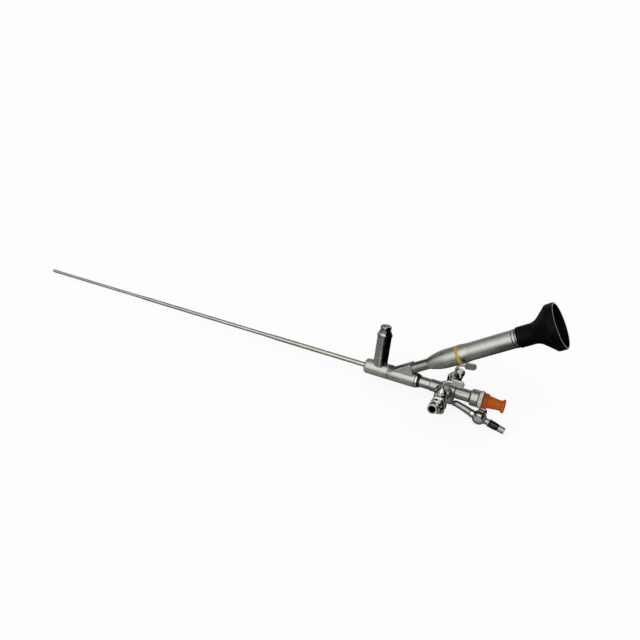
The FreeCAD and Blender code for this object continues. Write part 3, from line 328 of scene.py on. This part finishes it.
adapter_steel = turned_steel(
    "turned steel of the adapter", SHAFT,
    pale=(0.35, 0.355, 0.32), dark=(0.27, 0.275, 0.25), rough=0.33, specks=0.05)
flange_steel = turned_steel(
    "pale blasted steel", SHAFT,
    pale=(0.56, 0.56, 0.52), dark=(0.51, 0.51, 0.47), rough=0.62, joint_grime_and_shade=0.95, specks=0.02)
lever_steel = turned_steel(
    "blasted steel of the levers", SHAFT,
    pale=(0.50, 0.52, 0.45), dark=(0.42, 0.44, 0.38), rough=0.28, lines=1.0)
bright_left = tap_steel("polished steel of the left tap", LEFT_TAP)
bright_right = tap_steel("polished steel of the right tap", RIGHT_TAP)
branch_steel = turned_steel(
    "turned steel of the branch", VALVE,
    pale=(0.33, 0.33, 0.30), dark=(0.26, 0.26, 0.235), rough=0.36, joint_grime_and_shade=0.8, specks=0.05)
bright_valve = polished_steel(
    "polished steel of the lower valve", VALVE,
    pale=(0.43, 0.43, 0.405), dark=(0.34, 0.34, 0.32), rough=0.1, joint_grime_and_shade=0.5)
dark_outlet = polished_steel(
    "dark polished steel of the outlet", VALVE,
    pale=(0.035, 0.035, 0.033), dark=(0.022, 0.022, 0.021), rough=0.1)

# Plastics, enamels, rubbers and glass

# The eyecup's lip carries a painted highlight
black_cup = moulded(
    "black plastic of the eyecup", EYEPIECE,
    pale=(0.0017, 0.0019, 0.0021), dark=(0.0009, 0.001, 0.0011), rough=0.42, gloss=0.045, lip=EYECUP_LIP)
black_ring = moulded(
    "black insulating ring", SHAFT,
    pale=(0.004, 0.004, 0.004), dark=(0.002, 0.002, 0.002), rough=0.3, gloss=0.2)
dot_black = moulded(
    "black enamel of the index dot", EYEPIECE,
    pale=(0.008, 0.009, 0.011), dark=(0.004, 0.005, 0.006), rough=0.35, gloss=0.2)
size_yellow = moulded(
    "yellow enamel of the size band", EYEPIECE,
    pale=(0.42, 0.27, 0.006), dark=(0.35, 0.215, 0.005), rough=0.32, gloss=0.3)
# The cap's base carries painted shade
cap_orange = moulded(
    "orange silicone of the cap", SHAFT,
    pale=(0.40, 0.084, 0.004), dark=(0.32, 0.06, 0.003), rough=0.4, gloss=0.1, shade_start=CAP_START)
seal_grey = moulded(
    "grey rubber of the seal", SHAFT,
    pale=(0.2, 0.2, 0.2), dark=(0.12, 0.12, 0.12), rough=0.6)
clear_glass = lens_glass(
    "clear glass of the lenses", EYEPIECE,
    tint=(0.85, 0.92, 0.92), paler=(0.8925, 0.966, 0.966))
fibres = fibre_bundle("packed glass fibres", POST)

FINISHES = {
    satin_shaft: "front_housing rear_housing channel_tube",
    satin_neck: "neck_tube",
    satin_eye: "eyepiece_cone eyepiece_barrel end_ring guide_ferrule lens_spacer",
    sheath_steel: "outer_sheath distal_tip",
    adapter_steel: "adapter_body rear_sleeve union_nut",
    post_steel: "light_post fibre_ferrule",
    branch_steel: "branch_tube outlet_neck outlet_tip",
    flange_steel: "flange_ring",
    lever_steel: "left_lever right_lever",
    bright_left: "left_arm left_plug left_cap left_luer",
    bright_right: "right_arm right_plug right_cap right_luer",
    bright_valve: "valve_body valve_cap valve_plug valve_knob outlet_barrel",
    bright_post: "wide_adapter narrow_adapter",
    bright_collar: "collar_ring",
    black_cup: "eyecup",
    black_ring: "black_ring",
    dot_black: "index_dot",
    size_yellow: "size_band",
    cap_orange: "sealing_cap",
    seal_grey: "inner_seal",
    clear_glass: "objective_lens light_window ocular_window eye_lens field_lens",
    fibres: "image_guide light_strand_left light_strand_right",
}
for finish, names in FINISHES.items():
    for name in names.split():
        slots = nodes[name].material_slots
        if not slots:
            nodes[name].data.materials.append(finish)
        for slot in slots:
            slot.material = finish

# Pieces whose turned outline is finer than the plain one they stand for

WELD = 0.002             # corners nearer than this become one
ROUNDING_LEVELS = 2
SMOOTH_UNDER = 35.0      # faces that meet at less than this shade as one


def turned_piece(name, steps, sides, place, finish, stands_for):
    """Closed ring about the x axis of place: one circle, extruded and resized to each (x, r, up).

    It is made upright, with x along z, and then turned to its place. Where a step has no up, it is 0.
    """
    steps = [step if len(step) == 3 else (*step, 0.0) for step in steps]
    here, here_r, here_up = steps[0]
    bpy.ops.object.select_all(action="DESELECT")
    bpy.ops.mesh.primitive_circle_add(vertices=sides, radius=here_r * MM, location=(0, 0, 0))
    piece = bpy.context.object
    piece.name = name
    bpy.ops.object.mode_set(mode="EDIT")
    bpy.ops.mesh.select_all(action="SELECT")
    bpy.ops.transform.translate(value=(-here_up * MM, 0, here * MM))
    for there, there_r, there_up in steps[1:] + steps[:1]:
        move = ((here_up - there_up) * MM, 0, (there - here) * MM)
        bpy.ops.mesh.extrude_region_move(TRANSFORM_OT_translate={"value": move})
        grown = there_r / here_r
        middle = (-there_up * MM, 0, there * MM)
        bpy.ops.transform.resize(value=(grown, grown, 1), center_override=middle)
        here, here_r, here_up = there, there_r, there_up
    bpy.ops.mesh.select_all(action="SELECT")
    bpy.ops.mesh.remove_doubles(threshold=WELD * MM)
    bpy.ops.mesh.normals_make_consistent(inside=False)
    bpy.ops.object.mode_set(mode="OBJECT")
    rounding = piece.modifiers.new("rounding", "SUBSURF")
    rounding.levels = ROUNDING_LEVELS
    rounding.render_levels = ROUNDING_LEVELS
    bpy.ops.object.modifier_apply(modifier="rounding")
    bpy.ops.object.shade_smooth_by_angle(angle=math.radians(SMOOTH_UNDER))
    upright_to_x = Matrix.Rotation(math.radians(90), 4, "Y")
    piece.data.transform(place @ upright_to_x)
    piece.data.update()
    piece.data.materials.append(finish)
    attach(piece, "instrument")
    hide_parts(stands_for)


def soft_cap():
    """Sealing cap: a thick bead over the nipple, a long waist and a short flared mouth."""
    nipple_r = 3.3
    bead_r = 5.66
    waist_r = 3.7
    mouth_r = 4.9
    hole_r = 0.62
    bead_front = [(0.0, nipple_r), (0.0, 4.9), (0.15, 5.5), (0.9, bead_r)]
    bead_back = [(2.4, bead_r), (3.1, 5.5), (3.35, 5.1), (3.45, 4.7)]
    waist = [(3.9, 4.52), (5.4, 4.42), (7.4, 4.12), (9.6, 3.86), (11.4, waist_r), (12.5, 3.72)]
    mouth = [(13.0, 4.1), (13.35, 4.7), (13.6, mouth_r), (14.6, mouth_r), (14.9, 4.75), (14.98, 4.3)]
    funnel = [(14.9, 3.7), (13.0, 2.6), (11.6, 1.2), (10.4, 0.65), (7.4, hole_r), (4.4, 0.9)]
    seat = [(3.4, 2.4), (3.1, nipple_r), (1.6, nipple_r)]
    outline = bead_front + bead_back + waist + mouth + funnel + seat
    steps = [(CAP_START + x, r) for x, r in outline]
    turned_piece("sealing_cap_moulded", steps, 48, SHAFT, cap_orange, "sealing_cap")


def tapered_outlet():
    """Outlet behind the lower valve: a collar, a bead, then a long dark cone."""
    bore_r = 1.0
    groove_r = 2.62
    start = 7.3
    end = 14.85
    collar = [(start, bore_r), (start, 2.5), (7.42, 2.85), (7.9, 2.95), (8.3, 2.9), (8.5, groove_r)]
    bead = [(8.75, groove_r), (8.95, 2.9), (9.3, 2.98), (9.7, 2.9), (9.85, 2.7)]
    cone = [(10.1, 2.72), (10.3, 2.93), (12.6, 2.72), (14.5, 2.52), (14.75, 2.46), (end, 2.2), (end, bore_r)]
    turned_piece("outlet_barrel_turned", collar + bead + cone, 40, VALVE, dark_outlet, "outlet_barrel")


def flared_branch():
    """Lower branch: a tube that flares up from its root under the sleeve to the valve's socket."""
    bore_r = 0.95
    spigot_r = 1.4
    socket_r = 2.1
    start = -22.3
    end = -4.9
    spigot = [(start, bore_r), (start, spigot_r), (-20.72, spigot_r)]
    root = [(-20.7, 2.05), (-20.3, 2.15), (-19.2, 2.3, 0.6), (-17.5, 2.4, 0.8)]
    flare = [(-12.0, 2.55, 0.6), (-7.8, 2.7, 0.2), (-7.2, 2.72, 0.1), (-7.0, 2.6)]
    socket = [(-6.9, socket_r), (end, socket_r), (end, bore_r)]
    outline = spigot + root + flare + socket
    turned_piece("branch_tube_flared", outline, 40, VALVE, branch_steel, "branch_tube")


soft_cap()
tapered_outlet()
flared_branch()

# Studio, in metres

WHITE = (1, 1, 1, 1)
FLOOR_TOP = -0.0002
LAYER = 0.00002          # the cards on the floor lie over each other by this much
FLOOR_GLOW = 0.86        # how much of the seen floor is even white, and not lit
ROOM_LIGHT = 0.6         # what the room throws on the object; where it is seen it is white
SUN_STRENGTH = 1.6
SUN_PLACE = (-0.1, -0.9, 0.85)
SUN_WIDTH = 74.0         # degrees across, for soft shadows

# Points that the standing cards face
HANDLE = (0.16, 0, 0.03)
PAST_HANDLE = (0.3, 0, 0.03)
ON_SHEATH = (0, 0, 0.03)
BEFORE_POST = (0, 0.0045, 0.048)


def in_sight(tree):
    """Socket that is 1 where the camera looks, straight, in metal or through glass, and 0 for other light."""
    path = tree.nodes.new("ShaderNodeLightPath")
    seen = path.outputs["Is Camera Ray"]
    for way in ("Is Glossy Ray", "Is Transmission Ray"):
        either = tree.nodes.new("ShaderNodeMath")
        either.operation = "MAXIMUM"
        tree.links.new(seen, either.inputs[0])
        tree.links.new(path.outputs[way], either.inputs[1])
        seen = either.outputs["Value"]
    return seen


def floor_finish():
    """Pale floor: as bright as paper where it is seen, with the object's soft shadow kept."""
    s = Sheet("pale floor")
    paper = s.noise(cells=0.004, detail=2.0)
    s.surface(s.ramp(paper, low=0.96, high=0.98), Roughness=0.9, Specular_IOR_Level=0.1)
    share = s.spread(in_sight(s.tree), low=0.0, high=FLOOR_GLOW, start=0.0, end=1.0)
    glow = s.add("ShaderNodeEmission", Color=WHITE, Strength=1.0)
    mixed = s.add("ShaderNodeMixShader")
    s.join(share, mixed, "Fac")
    s.join(s.shader.outputs["BSDF"], mixed, 1)
    s.join(glow.outputs["Emission"], mixed, 2)
    s.join(mixed.outputs["Shader"], s.output, "Surface")
    return s.material


def card_finish(name, grey):
    """Matt felt of one grey."""
    s = Sheet(name)
    weave = s.noise(cells=0.2, detail=2.0)
    return s.surface(s.ramp(weave, low=grey * 0.9, high=grey), Roughness=1.0, Specular_IOR_Level=0.0)


def plain_plane(name, finish, size, place, facing=None):
    """Flat plane of the studio, level or turned to face a point."""
    bpy.ops.object.select_all(action="DESELECT")
    bpy.ops.mesh.primitive_plane_add(size=1, location=place)
    plane = bpy.context.object
    plane.name = name
    plane.scale = (*size, 1)
    if facing is not None:
        plane.rotation_euler = (Vector(facing) - Vector(place)).to_track_quat("Z", "Y").to_euler()
    plane.data.materials.append(finish)
    return plane


def card(name, finish, size, place, facing=None):
    """Studio card that the polished steel reflects; it throws no shadow and isn't in the picture."""
    board = plain_plane(name, finish, size, place, facing)
    board.visible_camera = False
    board.visible_diffuse = False
    board.visible_shadow = False
    board.visible_transmission = False


def floor_card(name, finish, size, x, y, layer):
    """Card that lies on the floor, so many layers up."""
    card(name, finish, size, (x, y, FLOOR_TOP + layer * LAYER))


plain_plane("floor", floor_finish(), size=(30, 30), place=(0, 0, FLOOR_TOP))

black_card = card_finish("black felt of the studio cards", grey=0.006)
dark_card = card_finish("dark grey felt of the studio cards", grey=0.33)
grey_card = card_finish("grey felt of the studio cards", grey=0.45)
near_card = card_finish("middle grey felt of the studio cards", grey=0.55)
pale_card = card_finish("pale felt of the studio cards", grey=0.9)

card("card_right", black_card, size=(1.1, 0.9), place=(0.9, 0.2, 0.55), facing=HANDLE)
card("card_front_right", black_card, size=(0.6, 0.36), place=(0.52, -0.34, 0.19), facing=HANDLE)
card("card_back_left", grey_card, size=(1.7, 1.4), place=(-0.65, 0.8, 0.75), facing=ON_SHEATH)
card("card_back_right", black_card, size=(1.2, 1.4), place=(0.9, 0.75, 0.75), facing=PAST_HANDLE)
card("card_beside_post", black_card, size=(0.027, 0.056), place=(0.1125, 0.0045, 0.048), facing=BEFORE_POST)
floor_card("card_floor", dark_card, size=(1.2, 1.0), x=0.12, y=0.0, layer=2)
floor_card("card_floor_near", near_card, size=(0.08, 0.026), x=0.09, y=-0.019, layer=4)
floor_card("card_floor_streak", pale_card, size=(0.014, 0.045), x=0.0905, y=-0.043, layer=6)
floor_card("card_floor_front", black_card, size=(0.14, 0.08), x=0.27, y=-0.06, layer=6)
floor_card("card_floor_right", black_card, size=(0.5, 0.5), x=0.405, y=-0.35, layer=5)
floor_card("card_floor_rim", pale_card, size=(0.05, 0.06), x=0.128, y=-0.16, layer=7)
floor_card("card_floor_stripe", near_card, size=(0.05, 0.17), x=0.128, y=-0.28, layer=7)
floor_card("card_floor_disc", pale_card, size=(0.03, 0.02), x=0.179, y=-0.047, layer=8)
floor_card("card_floor_behind", black_card, size=(0.5, 0.4), x=0.363, y=0.2, layer=6)


def room_light():
    """World: soft even light on the object, and white where it is seen."""
    world = bpy.data.worlds.new("studio")
    bpy.context.scene.world = world
    world.use_nodes = True
    sky = world.node_tree
    background = sky.nodes["Background"]
    background.inputs["Color"].default_value = WHITE
    level = sky.nodes.new("ShaderNodeMapRange")
    level.inputs["To Min"].default_value = ROOM_LIGHT
    level.inputs["To Max"].default_value = 1.0
    sky.links.new(in_sight(sky), level.inputs["Value"])
    sky.links.new(level.outputs["Result"], background.inputs["Strength"])


def sun_light():
    """One wide soft lamp from the front and above."""
    sun = bpy.data.lights.new("key", "SUN")
    sun.energy = SUN_STRENGTH
    sun.angle = math.radians(SUN_WIDTH)
    lamp = bpy.data.objects.new("key", sun)
    bpy.context.scene.collection.objects.link(lamp)
    lamp.location = SUN_PLACE
    lamp.rotation_euler = Vector(SUN_PLACE).to_track_quat("Z", "Y").to_euler()


room_light()
sun_light()

# Camera at the photograph's viewing angle, in metres and degrees

CAMERA_PLACE = (0.229295, -0.368570, 0.324312)
CAMERA_TURN = (55.3629, -2.2333, 27.0894)
CAMERA_LENS = 37.06
CAMERA_SENSOR = 36
CAMERA_NEAR = 0.01


def photo_camera():
    """Camera that frames the instrument as the photograph does."""
    data = bpy.data.cameras.new("camera")
    data.lens = CAMERA_LENS
    data.sensor_width = CAMERA_SENSOR
    data.clip_start = CAMERA_NEAR
    camera = bpy.data.objects.new("camera", data)
    bpy.context.scene.collection.objects.link(camera)
    camera.location = CAMERA_PLACE
    camera.rotation_euler = [math.radians(turn) for turn in CAMERA_TURN]
    bpy.context.scene.camera = camera


photo_camera()
bpy.context.scene.view_settings.view_transform = "Standard"
